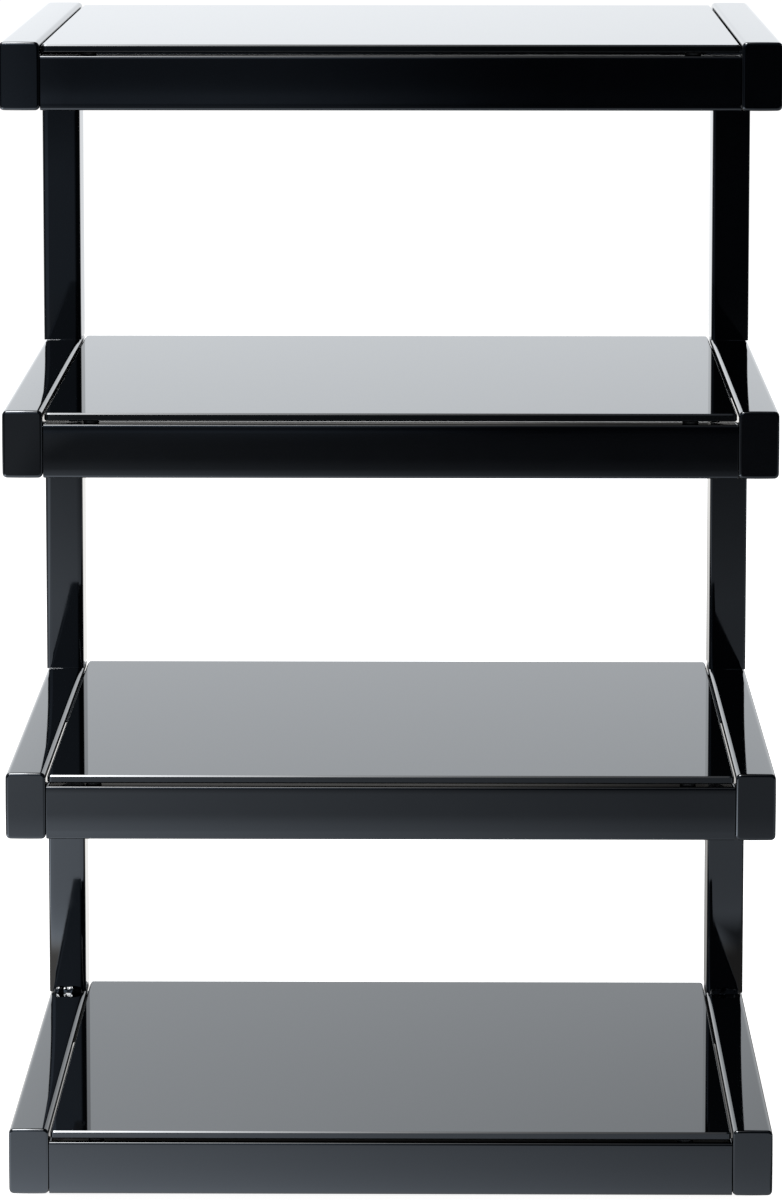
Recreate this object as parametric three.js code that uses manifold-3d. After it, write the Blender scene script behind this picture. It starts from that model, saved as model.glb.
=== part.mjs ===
// Audio equipment rack: four steel frames on six posts, each frame holding a glass shelf.
// Millimetres, +Z up, +X to the right and -Y to the front. The origin is on the floor,
// under the middle of the rack.

import * as THREE from 'three';
import { mergeVertices } from 'three/addons/utils/BufferGeometryUtils.js';
import Module from 'manifold-3d';

const wasm = await Module();
wasm.setup();

// Overall sizes
const RACK_WIDTH = 570;
const RACK_DEPTH = 500;
const LEVEL_GAP = 220;
const LEVEL_COUNT = 4;

// Side rails: closed rectangular tube, running front to back
const RAIL_WIDTH = 30;
const RAIL_HEIGHT = 50;
const RAIL_WALL = 2;
const RAIL_CORNER_RADIUS = 3;
const RAIL_INNER_RADIUS = 1;
const RAIL_END_PLATE = 3;
const RAIL_END_ROUND = 1.2;

// Cross rails: lower tube, welded between the side rails at the front and the rear,
// just high enough to carry the glass on its pads
const CROSS_DEPTH = 20;
const CROSS_WALL = 1.5;
const CROSS_CORNER_RADIUS = 2;
const CROSS_INNER_RADIUS = 0.5;
const CROSS_SETBACK = 0.5;

// Posts: tube standing on the side rails, flush with their rear ends
const POST_DEPTH = 50;
const POST_WALL = 2;
const POST_CORNER_RADIUS = 3;
const POST_INNER_RADIUS = 1;
const POST_END_PLATE = 6;

// Glass shelves: the glass lies a little below the tops of the side rails
const GLASS_THICKNESS = 6;
const GLASS_DROP = 2;
const GLASS_SIDE_GAP = 1;
const GLASS_END_SETBACK = 2;
const GLASS_CORNER_RADIUS = 3;
const GLASS_ARRIS = 1.1;

// Round pads between the cross rails and the glass
const PAD_RADIUS = 6;
const PAD_THICKNESS = 2;
const PAD_EDGE_ROUND = 0.5;
const PAD_INSET = 35;

// Studs that join each post to the rail above or below it
const STUD_RADIUS = 4;
const STUD_GRIP = 12;
const STUD_CHAMFER = 1;

// Nuts welded inside the rails, over the holes that take a thread from below
const NUT_RADIUS = 8;
const NUT_HEIGHT = 8;

// Levelling feet: a round base under a screw with a hexagon for the spanner
const FOOT_INSET = 64;
const FOOT_BASE_RADIUS = 14;
const FOOT_BASE_HEIGHT = 7;
const FOOT_BASE_RIM = 3;
const FOOT_BASE_CHAMFER = 1;
const FOOT_NECK_RADIUS = 9;
const FOOT_SOCKET_DEPTH = 4;
const FOOT_SCREW_RADIUS = 4;
const FOOT_SCREW_LENGTH = 26;
const FOOT_HEX_RADIUS = 7.5;
const FOOT_HEX_HEIGHT = 5;
const FOOT_STOP_GAP = 0.4;

// Weld bead along the front foot of each lowest post
const BEAD_LEG = 5;
const BEAD_CROWN = 0.8;

// Clearance round a thread, and the overrun of every cut
const THREAD_CLEARANCE = 0.3;
const CUT_OVERRUN = 1;

// Counts of segments
const CORNER_SEGMENTS = 4;
const ROUND_SEGMENTS = 24;
const SMALL_ROUND_SEGMENTS = 16;
const HEX_SIDES = 6;
const BEVEL_SEGMENTS = 2;

// Sizes that follow from the ones above
const INNER_WIDTH = RACK_WIDTH - 2 * RAIL_WIDTH;
const LEVEL_PITCH = RAIL_HEIGHT + LEVEL_GAP;
const RAIL_UNDERSIDE = FOOT_BASE_HEIGHT + FOOT_HEX_HEIGHT + FOOT_STOP_GAP;
const RAIL_X = (RACK_WIDTH - RAIL_WIDTH) / 2;
const POST_WIDTH = RAIL_WIDTH;
const POST_Y = (RACK_DEPTH - POST_DEPTH) / 2;
const POST_FRONT_Y = POST_Y - POST_DEPTH / 2;
const CROSS_Y = (RACK_DEPTH - CROSS_DEPTH) / 2 - CROSS_SETBACK;
const FOOT_Y = RACK_DEPTH / 2 - FOOT_INSET;
const PAD_X = INNER_WIDTH / 2 - PAD_INSET;
const SHELF_UNDERSIDE = RAIL_HEIGHT - GLASS_DROP - GLASS_THICKNESS;
const CROSS_HEIGHT = SHELF_UNDERSIDE - PAD_THICKNESS;
const STUD_HOLE_RADIUS = STUD_RADIUS + THREAD_CLEARANCE;
const FOOT_HOLE_RADIUS = FOOT_SCREW_RADIUS + THREAD_CLEARANCE;

const SIDES = [
  { name: 'left', sign: -1 },
  { name: 'right', sign: 1 },
];
const ENDS = [
  { name: 'front', sign: -1 },
  { name: 'rear', sign: 1 },
];

// Materials
const materials = {
  glossBlackSteel: new THREE.MeshStandardMaterial({ color: 0x08090b, roughness: 0.12, metalness: 0 }),
  blackGlass: new THREE.MeshStandardMaterial({ color: 0x030405, roughness: 0.03, metalness: 0 }),
  blackRubber: new THREE.MeshStandardMaterial({ color: 0x121212, roughness: 0.8, metalness: 0 }),
  zincSteel: new THREE.MeshStandardMaterial({ color: 0xb4b8be, roughness: 0.35, metalness: 1 }),
  blackPlastic: new THREE.MeshStandardMaterial({ color: 0x161616, roughness: 0.55, metalness: 0 }),
};

// Solids: a closed geometry becomes a manifold for cutting and joining, and comes back

function toSolid(geometry) {
  const bare = geometry.clone();
  bare.deleteAttribute('normal');
  bare.deleteAttribute('uv');
  const merged = mergeVertices(bare);
  return new wasm.Manifold(new wasm.Mesh({
    numProp: 3,
    vertProperties: new Float32Array(merged.attributes.position.array),
    triVerts: new Uint32Array(merged.index.array),
  }));
}

function toGeometry(solid) {
  const mesh = solid.getMesh();
  const geometry = new THREE.BufferGeometry();
  geometry.setAttribute('position', new THREE.BufferAttribute(mesh.vertProperties, 3));
  geometry.setIndex(new THREE.BufferAttribute(mesh.triVerts, 1));
  geometry.computeVertexNormals();
  return geometry;
}

// Rectangle with round corners, centred on the origin
function roundedRectangle(width, height, radius) {
  const x = width / 2;
  const y = height / 2;
  const shape = new THREE.Shape();
  shape.moveTo(x, radius - y);
  shape.lineTo(x, y - radius);
  shape.absarc(x - radius, y - radius, radius, 0, Math.PI / 2);
  shape.absarc(radius - x, y - radius, radius, Math.PI / 2, Math.PI);
  shape.absarc(radius - x, radius - y, radius, Math.PI, 1.5 * Math.PI);
  shape.absarc(x - radius, radius - y, radius, 1.5 * Math.PI, 2 * Math.PI);
  return shape;
}

// Bar along Z, centred on the origin, whose two ends are rounded or chamfered by endRound
function bar(width, height, length, radius, endRound, bevelSegments) {
  const geometry = new THREE.ExtrudeGeometry(roundedRectangle(width, height, radius), {
    depth: length - 2 * endRound,
    curveSegments: CORNER_SEGMENTS,
    steps: 1,
    bevelEnabled: endRound > 0,
    bevelThickness: endRound,
    bevelSize: endRound,
    bevelOffset: -endRound,
    bevelSegments,
  });
  geometry.translate(0, 0, endRound - length / 2);
  return geometry;
}

// Vertical cylinder with its foot at the given height
function upright(x, y, bottom, radius, height, sides = SMALL_ROUND_SEGMENTS) {
  const geometry = new THREE.CylinderGeometry(radius, radius, height, sides);
  geometry.rotateX(Math.PI / 2);
  geometry.translate(x, y, bottom + height / 2);
  return geometry;
}

// Turned piece about Z, from the outline's radii and heights, which start and end on the axis
function turned(outline, sides = SMALL_ROUND_SEGMENTS) {
  const points = outline.map(([radius, height]) => new THREE.Vector2(radius, height));
  const geometry = new THREE.LatheGeometry(points, sides);
  geometry.rotateX(Math.PI / 2);
  return geometry;
}

// Side rail, centred in X and Y with its underside at zero. Each nut and stud place is a Y.
function sideRailGeometry({ nutPlaces, throughPlaces }) {
  const outer = bar(RAIL_WIDTH, RAIL_HEIGHT, RACK_DEPTH, RAIL_CORNER_RADIUS, RAIL_END_ROUND, BEVEL_SEGMENTS);
  const inner = bar(
    RAIL_WIDTH - 2 * RAIL_WALL,
    RAIL_HEIGHT - 2 * RAIL_WALL,
    RACK_DEPTH - 2 * RAIL_END_PLATE,
    RAIL_INNER_RADIUS,
    0,
    0,
  );
  for (const geometry of [outer, inner]) {
    geometry.rotateX(Math.PI / 2);
    geometry.translate(0, 0, RAIL_HEIGHT / 2);
  }
  let rail = toSolid(outer).subtract(toSolid(inner));
  for (const { y, hole } of nutPlaces) {
    const nut = upright(0, y, RAIL_WALL / 2, NUT_RADIUS, RAIL_WALL / 2 + NUT_HEIGHT, HEX_SIDES);
    const bore = upright(0, y, -CUT_OVERRUN, hole, RAIL_WALL + NUT_HEIGHT + 2 * CUT_OVERRUN);
    rail = rail.add(toSolid(nut)).subtract(toSolid(bore));
  }
  for (const { y, hole } of throughPlaces) {
    const bore = upright(0, y, -CUT_OVERRUN, hole, RAIL_HEIGHT + 2 * CUT_OVERRUN);
    rail = rail.subtract(toSolid(bore));
  }
  return toGeometry(rail);
}

// Cross rail along X, centred in X and Y with its underside at zero, open at both ends
function crossRailGeometry() {
  const outer = bar(CROSS_DEPTH, CROSS_HEIGHT, INNER_WIDTH, CROSS_CORNER_RADIUS, 0, 0);
  const inner = bar(
    CROSS_DEPTH - 2 * CROSS_WALL,
    CROSS_HEIGHT - 2 * CROSS_WALL,
    INNER_WIDTH + 2 * CUT_OVERRUN,
    CROSS_INNER_RADIUS,
    0,
    0,
  );
  for (const geometry of [outer, inner]) {
    geometry.rotateX(Math.PI / 2);
    geometry.rotateZ(Math.PI / 2);
    geometry.translate(0, 0, CROSS_HEIGHT / 2);
  }
  return toGeometry(toSolid(outer).subtract(toSolid(inner)));
}

// Post with its foot at zero. Its head is closed by a drilled plate, and its foot too
// unless it is welded down open.
function postGeometry(footPlate) {
  const outer = bar(POST_WIDTH, POST_DEPTH, LEVEL_GAP, POST_CORNER_RADIUS, 0, 0);
  outer.translate(0, 0, LEVEL_GAP / 2);
  const floor = footPlate ? POST_END_PLATE : -CUT_OVERRUN;
  const height = LEVEL_GAP - POST_END_PLATE - floor;
  const innerWidth = POST_WIDTH - 2 * POST_WALL;
  const inner = bar(innerWidth, POST_DEPTH - 2 * POST_WALL, height, POST_INNER_RADIUS, 0, 0);
  inner.translate(0, 0, floor + height / 2);
  const bore = upright(0, 0, -CUT_OVERRUN, STUD_HOLE_RADIUS, LEVEL_GAP + 2 * CUT_OVERRUN);
  return toGeometry(toSolid(outer).subtract(toSolid(inner)).subtract(toSolid(bore)));
}

// Glass shelf with its underside at zero
function glassGeometry() {
  const geometry = bar(
    INNER_WIDTH - 2 * GLASS_SIDE_GAP,
    RACK_DEPTH - 2 * GLASS_END_SETBACK,
    GLASS_THICKNESS,
    GLASS_CORNER_RADIUS,
    GLASS_ARRIS,
    1,
  );
  geometry.translate(0, 0, GLASS_THICKNESS / 2);
  return toGeometry(toSolid(geometry));
}

// Pad with its underside at zero
function padGeometry() {
  return toGeometry(toSolid(turned([
    [0, 0],
    [PAD_RADIUS, 0],
    [PAD_RADIUS, PAD_THICKNESS - PAD_EDGE_ROUND],
    [PAD_RADIUS - PAD_EDGE_ROUND, PAD_THICKNESS],
    [0, PAD_THICKNESS],
  ])));
}

// Stud with its lower end at zero
function studGeometry(length) {
  return toGeometry(toSolid(turned([
    [0, 0],
    [STUD_RADIUS - STUD_CHAMFER, 0],
    [STUD_RADIUS, STUD_CHAMFER],
    [STUD_RADIUS, length - STUD_CHAMFER],
    [STUD_RADIUS - STUD_CHAMFER, length],
    [0, length],
  ])));
}

// Foot base with its flat sole at zero and a socket in its top
function footBaseGeometry() {
  const base = turned([
    [0, 0],
    [FOOT_BASE_RADIUS - FOOT_BASE_CHAMFER, 0],
    [FOOT_BASE_RADIUS, FOOT_BASE_CHAMFER],
    [FOOT_BASE_RADIUS, FOOT_BASE_RIM],
    [FOOT_NECK_RADIUS, FOOT_BASE_HEIGHT],
    [0, FOOT_BASE_HEIGHT],
  ], ROUND_SEGMENTS);
  const floor = FOOT_BASE_HEIGHT - FOOT_SOCKET_DEPTH;
  const socket = upright(0, 0, floor, FOOT_HOLE_RADIUS, FOOT_SOCKET_DEPTH + CUT_OVERRUN);
  return toGeometry(toSolid(base).subtract(toSolid(socket)));
}

// Foot screw with the underside of its hexagon at zero, its tip in the base's socket
function footScrewGeometry() {
  const length = FOOT_SOCKET_DEPTH + FOOT_HEX_HEIGHT + FOOT_SCREW_LENGTH;
  const shank = upright(0, 0, -FOOT_SOCKET_DEPTH, FOOT_SCREW_RADIUS, length);
  const hexagon = upright(0, 0, 0, FOOT_HEX_RADIUS, FOOT_HEX_HEIGHT, HEX_SIDES);
  return toGeometry(toSolid(shank).add(toSolid(hexagon)));
}

// Weld bead along X with its corner at the origin, between a floor and a wall behind it
function beadGeometry() {
  const length = POST_WIDTH - 2 * POST_CORNER_RADIUS;
  const shape = new THREE.Shape();
  shape.moveTo(0, 0);
  shape.lineTo(0, BEAD_LEG);
  shape.quadraticCurveTo(
    -BEAD_LEG / 2 - BEAD_CROWN,
    BEAD_LEG / 2 + BEAD_CROWN,
    -BEAD_LEG,
    0,
  );
  shape.closePath();
  const geometry = new THREE.ExtrudeGeometry(shape, {
    depth: length,
    curveSegments: CORNER_SEGMENTS,
    steps: 1,
    bevelEnabled: false,
  });
  geometry.translate(0, 0, -length / 2);
  geometry.rotateX(Math.PI / 2);
  geometry.rotateZ(Math.PI / 2);
  return toGeometry(toSolid(geometry));
}

const rack = new THREE.Group();

function place(parent, name, geometry, material, x, y, z) {
  const mesh = new THREE.Mesh(geometry, material);
  mesh.name = name;
  mesh.position.set(x, y, z);
  parent.add(mesh);
}

// Frames: two side rails and two cross rails at each level, with the holes of that level

function railPlaces(level) {
  const post = { y: POST_Y, hole: STUD_HOLE_RADIUS };
  const feet = ENDS.map((end) => ({ y: end.sign * FOOT_Y, hole: FOOT_HOLE_RADIUS }));
  if (level === 1) return { nutPlaces: feet, throughPlaces: [] };
  if (level === LEVEL_COUNT) return { nutPlaces: [post], throughPlaces: [] };
  return { nutPlaces: [], throughPlaces: [post] };
}

function addFrame(group, level) {
  const railGeometry = sideRailGeometry(railPlaces(level));
  for (const side of SIDES) {
    const name = `side_rail_${level}_${side.name}`;
    place(group, name, railGeometry, materials.glossBlackSteel, side.sign * RAIL_X, 0, 0);
  }
  const crossGeometry = crossRailGeometry();
  for (const end of ENDS) {
    const name = `${end.name}_rail_${level}`;
    place(group, name, crossGeometry, materials.glossBlackSteel, 0, end.sign * CROSS_Y, 0);
  }
}

// Shelves: a glass on four pads at each level

function addShelf(group, level) {
  const pad = padGeometry();
  for (const end of ENDS) {
    for (const side of SIDES) {
      const name = `pad_${level}_${end.name}_${side.name}`;
      const x = side.sign * PAD_X;
      place(group, name, pad, materials.blackRubber, x, end.sign * CROSS_Y, CROSS_HEIGHT);
    }
  }
  place(group, `glass_shelf_${level}`, glassGeometry(), materials.blackGlass, 0, 0, SHELF_UNDERSIDE);
}

// Posts: two standing on each level but the highest, with a stud at each bolted end

function addPosts(group, level) {
  const welded = level === 1;
  const post = postGeometry(!welded);
  const reachesTop = level === LEVEL_COUNT - 1;
  const overPost = reachesTop ? RAIL_WALL + NUT_HEIGHT : RAIL_HEIGHT + STUD_GRIP;
  const stud = studGeometry(STUD_GRIP + overPost);
  for (const side of SIDES) {
    const x = side.sign * RAIL_X;
    const studName = `post_stud_${level}_${side.name}`;
    const studZ = LEVEL_PITCH - STUD_GRIP;
    place(group, `post_${level}_${side.name}`, post, materials.glossBlackSteel, x, POST_Y, RAIL_HEIGHT);
    place(group, studName, stud, materials.zincSteel, x, POST_Y, studZ);
    if (welded) {
      const bead = beadGeometry();
      const name = `weld_bead_${side.name}`;
      place(group, name, bead, materials.glossBlackSteel, x, POST_FRONT_Y, RAIL_HEIGHT);
    }
  }
}

// Feet: one under each end of the lowest side rails

function addFeet() {
  const base = footBaseGeometry();
  const screw = footScrewGeometry();
  for (const end of ENDS) {
    for (const side of SIDES) {
      const x = side.sign * RAIL_X;
      const y = end.sign * FOOT_Y;
      const corner = `${end.name}_${side.name}`;
      place(rack, `foot_base_${corner}`, base, materials.blackPlastic, x, y, 0);
      place(rack, `foot_screw_${corner}`, screw, materials.zincSteel, x, y, FOOT_BASE_HEIGHT);
    }
  }
}

for (let level = 1; level <= LEVEL_COUNT; level += 1) {
  const group = new THREE.Group();
  group.position.z = RAIL_UNDERSIDE + (level - 1) * LEVEL_PITCH;
  addFrame(group, level);
  addShelf(group, level);
  if (level < LEVEL_COUNT) addPosts(group, level);
  rack.add(group);
}
addFeet();

export default rack;
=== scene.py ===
"""Audio equipment rack: gloss black steel frames, posts, black glass shelves and small fittings.

Every piece is a surface worked out on a grid, fitted to the box of the solid that it stands for.
Only the studs, hidden inside the posts, keep their solids' own meshes.
"""

import math

import bpy
import numpy as np
from bpy.props import FloatProperty, FloatVectorProperty, IntProperty, PointerProperty
from bpy.types import Operator, Panel, PropertyGroup
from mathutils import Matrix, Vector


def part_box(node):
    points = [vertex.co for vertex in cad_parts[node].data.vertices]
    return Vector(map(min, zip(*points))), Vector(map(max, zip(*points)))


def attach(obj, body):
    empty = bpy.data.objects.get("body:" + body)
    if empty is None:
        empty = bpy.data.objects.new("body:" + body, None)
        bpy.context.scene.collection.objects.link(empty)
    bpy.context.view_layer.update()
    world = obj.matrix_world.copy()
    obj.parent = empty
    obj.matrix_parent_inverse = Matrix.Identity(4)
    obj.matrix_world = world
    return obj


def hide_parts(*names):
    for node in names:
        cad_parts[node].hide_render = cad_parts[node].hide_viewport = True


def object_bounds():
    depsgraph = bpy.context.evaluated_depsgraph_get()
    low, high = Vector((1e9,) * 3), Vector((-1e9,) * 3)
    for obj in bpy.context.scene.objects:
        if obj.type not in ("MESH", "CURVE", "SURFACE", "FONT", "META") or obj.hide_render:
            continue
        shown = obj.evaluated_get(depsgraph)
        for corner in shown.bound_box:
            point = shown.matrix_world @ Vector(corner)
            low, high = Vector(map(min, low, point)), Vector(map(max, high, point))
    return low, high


bl_info = {
    "name": "Audio Equipment Rack",
    "version": (1, 0, 0),
    "blender": (4, 5, 0),
    "location": "View3D > Sidebar > Audio Rack",
    "description": "Builds an open steel and glass rack for audio components",
    "category": "Add Mesh",
}

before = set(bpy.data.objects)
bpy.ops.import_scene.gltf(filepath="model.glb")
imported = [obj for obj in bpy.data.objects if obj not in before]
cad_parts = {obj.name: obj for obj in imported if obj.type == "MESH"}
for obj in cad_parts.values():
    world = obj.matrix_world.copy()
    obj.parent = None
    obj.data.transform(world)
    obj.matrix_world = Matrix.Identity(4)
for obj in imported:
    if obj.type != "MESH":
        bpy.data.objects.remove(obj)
cad_low, cad_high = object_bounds()

MM = 0.001
SIDES = ("left", "right")
ENDS = ("front", "rear")
LEVELS = (1, 2, 3, 4)
STOREYS = (1, 2, 3)

# How far beside an edge an extra ring lies, which keeps the face beyond it flat in the light
HAIR = 0.04 * MM
# How far into its turn a corner starts beside a crowned face, so that it meets the face's slope
CORNER_START = math.radians(2.0)
# Points along a crowned face, both ends counted, and where the two points of a plain one lie
FACE_POINTS, PLAIN_SHARE = 9, 0.995
# The power and the steps of each section's corners, and the steps of its rounded ends
RAIL_CURVE, RAIL_END_STEPS = (2.5, 14), 10
CROSS_CURVE, CROSS_END_STEPS = (2.2, 12), 6
POST_CURVE, POST_END_STEPS = (2.0, 12), 4
GLASS_CURVE, FLAT_BEVEL = (2.0, 16), 0


# Surfaces


def placed(name, data):
    """A new object in the scene that holds data."""
    made = bpy.data.objects.new(name, data)
    bpy.context.scene.collection.objects.link(made)
    return made


def closed_tube(name, rings):
    """A mesh object from rings[i, j] = the j-th point of the i-th closed ring.

    Each ring joins the next with quads, j running anticlockwise as seen from the last ring, and
    one flat face closes each end.
    """
    count, around = rings.shape[:2]
    i = np.arange(count - 1)[:, None] * around
    j = np.arange(around)[None, :]
    k = (j + 1) % around
    quads = np.stack([i + j, i + k, i + around + k, i + around + j], axis=-1).reshape(-1, 4)
    faces = quads.tolist()
    faces.append(np.arange(around)[::-1].tolist())
    faces.append((np.arange(around) + (count - 1) * around).tolist())
    mesh = bpy.data.meshes.new(name)
    mesh.from_pydata(rings.reshape(-1, 3).tolist(), [], faces)
    mesh.polygons.foreach_set("use_smooth", np.ones(len(mesh.polygons), bool))
    mesh.update()
    return placed(name, mesh)


def section(half_u, half_v, corner, crown, power, steps):
    """Points and normals of a rounded rectangle, anticlockwise from the right.

    Corner: (corner * cos(t) ** (2 / power), corner * sin(t) ** (2 / power)) from its centre, so
    power 2 is an arc and a higher one leaves the flats more gently. Flats: each bulges by
    crown * (1 - s ** 2), with s from -1 to 1 along it, so only its middle reaches the full size.
    """
    first = CORNER_START if crown else 0.0
    t = np.linspace(first, math.pi / 2 - first, steps + 1)
    x, y = np.cos(t) ** (2 / power), np.sin(t) ** (2 / power)
    normal = np.stack([x ** (power - 1), y ** (power - 1)], axis=-1)
    normal /= np.linalg.norm(normal, axis=-1, keepdims=True)
    middle_u, middle_v = half_u - crown - corner, half_v - crown - corner
    s = np.linspace(-1, 1, FACE_POINTS)[1:-1] if crown else np.array([-1, 1]) * PLAIN_SHARE
    points, normals = [], []
    for turn in range(4):
        near, far = (middle_u, middle_v) if turn % 2 == 0 else (middle_v, middle_u)
        c, d = round(math.cos(turn * math.pi / 2)), round(math.sin(turn * math.pi / 2))
        spin = np.array([[c, d], [-d, c]])
        flat = np.stack([near + corner + crown * (1 - s ** 2), far * s], axis=-1)
        tilt = np.stack([np.ones_like(s), 2 * crown * s / far], axis=-1)
        curve = np.stack([near + corner * x, far + corner * y], axis=-1)
        points += [flat @ spin, curve @ spin]
        normals += [tilt @ spin, normal @ spin]
    return np.concatenate(points), np.concatenate(normals)


def rounded_block(low, high, axis, outline, ends):
    """The rings of a bar along axis between the corners low and high.

    outline holds the section's corner, crown, power and steps. ends holds the size of the edge
    round each end and its number of steps, where no steps make a flat bevel. A round edge has
    inset = size * (1 - cos a) at size * (1 - sin a) from the end, for a from 0 to 90 degrees. A
    hair's breadth beside each edge lies one more ring.
    """
    w = "XYZ".index(axis)
    u, v = (w + 1) % 3, (w + 2) % 3
    low, high = np.array(low), np.array(high)
    middle, half = (low + high) / 2, (high - low) / 2
    points, normals = section(half[u], half[v], *outline)
    size, steps = ends
    if steps:
        a = np.linspace(0, math.pi / 2, steps + 1)
        inset, short = size * (1 - np.cos(a)), size * (1 - np.sin(a))
    else:
        inset = np.array([0, HAIR, size - HAIR, size])
        short = size - inset
    inset = np.concatenate([[0], inset, [size + HAIR]])
    reach = half[w] - np.concatenate([[size + HAIR], short, [0]])
    inset = np.concatenate([inset[::-1], inset])
    along = np.concatenate([-reach[::-1], reach])
    flat = points - inset[:, None, None] * normals
    rings = np.empty((len(along), len(points), 3))
    rings[..., u] = middle[u] + flat[..., 0]
    rings[..., v] = middle[v] + flat[..., 1]
    rings[..., w] = middle[w] + along[:, None]
    return rings


def bar(name, box, axis, outline, ends):
    """A mesh object of the rounded block that fits the box."""
    return closed_tube(name, rounded_block(*box, axis, outline, ends))


def turned(name, middle, radii, heights, around):
    """A turned piece about an upright axis: ring i has radius radii[i] and height heights[i].

    A radius may be one number for a ring or one for each angle.
    """
    angle = np.arange(around) * 2 * math.pi / around
    radii = np.asarray(radii, float)
    radii = radii.reshape(len(heights), -1)
    rings = np.empty((len(heights), around, 3))
    rings[..., 0] = middle[0] + radii * np.cos(angle)
    rings[..., 1] = middle[1] + radii * np.sin(angle)
    rings[..., 2] = np.asarray(heights)[:, None]
    return closed_tube(name, rings)


def arc(centre_r, centre_z, radius, start, end, steps=6):
    """Radii and heights of an arc of a profile, from start to end in degrees from outwards."""
    a = np.radians(np.linspace(start, end, steps + 1))
    return centre_r + radius * np.cos(a), centre_z + radius * np.sin(a)


# Finishes


class Number:
    """A socket's value: arithmetic on it adds Math nodes to its tree."""

    def __init__(self, finish, socket):
        self.finish, self.socket = finish, socket

    def math(self, operation, *values):
        node = self.finish.node("Math", {"operation": operation}, dict(enumerate(values)))
        return Number(self.finish, node.outputs[0])

    def __add__(self, other):
        return self.math("ADD", self, other)

    def __radd__(self, other):
        return self.math("ADD", other, self)

    def __sub__(self, other):
        return self.math("SUBTRACT", self, other)

    def __rsub__(self, other):
        return self.math("SUBTRACT", other, self)

    def __mul__(self, other):
        return self.math("MULTIPLY", self, other)

    def __rmul__(self, other):
        return self.math("MULTIPLY", other, self)

    def at_least(self, other):
        return self.math("MAXIMUM", self, other)

    def at_most(self, other):
        return self.math("MINIMUM", self, other)

    def power(self, other):
        return self.math("POWER", self, other)

    def power_of_e(self):
        return self.math("EXPONENT", self)

    def size(self):
        return self.math("ABSOLUTE", self)


class Finish:
    """A material or world under construction, with its node tree."""

    def __init__(self, owner):
        self.owner = owner
        owner.use_nodes = True
        self.tree = owner.node_tree
        self.tree.nodes.clear()

    def node(self, kind, settings=None, values=None):
        """Adds a shader node: its settings first, then the values or links of its sockets."""
        node = self.tree.nodes.new("ShaderNode" + kind)
        for key, value in (settings or {}).items():
            setattr(node, key, value)
        for key, value in (values or {}).items():
            if isinstance(value, Number):
                value = value.socket
            if isinstance(value, bpy.types.NodeSocket):
                self.tree.links.new(value, node.inputs[key])
            else:
                node.inputs[key].default_value = value
        return node

    def place(self):
        """The point of the surface, in metres."""
        return self.node("TexCoord").outputs["Object"]

    def noise(self, size, detail, rough=0.5, point=None):
        """A noise between 0 and 1 whose lumps are about size metres across."""
        values = {
            "Vector": point or self.place(),
            "Scale": 1 / size,
            "Detail": detail,
            "Roughness": rough,
        }
        return Number(self, self.node("TexNoise", None, values).outputs["Fac"])

    def stretched(self, factors):
        """The point of the surface, each coordinate multiplied by its factor."""
        values = {0: self.place(), 1: factors}
        return self.node("VectorMath", {"operation": "MULTIPLY"}, values).outputs[0]

    def between(self, factor, low, high, low_from=0.0, high_from=1.0):
        """Runs smoothly from low to high as factor goes from low_from to high_from."""
        values = {
            "Value": factor,
            "From Min": low_from,
            "From Max": high_from,
            "To Min": low,
            "To Max": high,
        }
        node = self.node("MapRange", {"interpolation_type": "SMOOTHSTEP"}, values)
        return Number(self, node.outputs[0])

    def ramp(self, factor, stops):
        """A number read from stops, each a place and a value, straight between them."""
        node = self.node("ValToRGB", None, {0: factor})
        elements = node.color_ramp.elements
        elements[0].position, elements[-1].position = stops[0][0], stops[-1][0]
        for place, _ in stops[1:-1]:
            elements.new(place)
        for place, value in stops:
            element = min(elements, key=lambda one: abs(one.position - place))
            element.color = (value, value, value, 1.0)
        return Number(self, node.outputs[0])

    def blend(self, factor, first, second):
        """The colour first where factor is 0 and second where it is 1."""
        node = self.node("Mix", {"data_type": "RGBA"}, {0: factor, 6: first, 7: second})
        return node.outputs[2]

    def mottle(self, factor, colour, dark, light):
        """The colour times dark where factor is 0 and times light where it is 1."""
        return self.blend(factor, shade(colour, dark), shade(colour, light))

    def bump(self, height, distance, normal=None):
        """A normal from a height between 0 and 1, whose full height is distance metres."""
        values = {"Height": height, "Strength": 1.0, "Distance": distance}
        if normal is not None:
            values["Normal"] = normal
        return self.node("Bump", None, values).outputs[0]

    def surface(self, values):
        """Ends a material with a Principled shader that holds these values."""
        shader = self.node("BsdfPrincipled", None, values)
        self.node("OutputMaterial", None, {"Surface": shader.outputs[0]})
        return self.owner


def shade(colour, factor):
    """A colour made darker or lighter, with its alpha kept at 1."""
    return (colour[0] * factor, colour[1] * factor, colour[2] * factor, 1.0)


def split(finish, vector):
    """The three numbers of a vector."""
    node = finish.node("SeparateXYZ", None, {0: vector})
    return tuple(Number(finish, socket) for socket in node.outputs)


def finish_once(name, build):
    """The material of that name, built by build(finish) the first time."""
    made = bpy.data.materials.get(name)
    if made is None:
        made = build(Finish(bpy.data.materials.new(name)))
    return made


# The part of a noise's range over which a mottled roughness changes
MOTTLE_RANGE = (0.3, 0.7)


def gloss_paint(settings):
    """Gloss black coating on steel: near-black, mirror smooth, with a trace of orange peel."""

    def build(finish):
        flow = finish.noise(45 * MM, detail=1.0)
        peel = finish.noise(3.5 * MM, detail=2.0)
        wear = finish.noise(18 * MM, detail=4.0, rough=0.6)
        waves = finish.bump(flow, settings.flow_height)
        return finish.surface({
            "Base Color": finish.mottle(wear, settings.colour, dark=0.7, light=1.3),
            "Roughness": settings.roughness * finish.between(
                wear, low=0.7, high=1.5, low_from=0.3, high_from=0.75
            ),
            "IOR": 1.5,
            "Normal": finish.bump(peel, settings.peel_height, waves),
        })

    return finish_once("gloss_black_paint", build)


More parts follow.
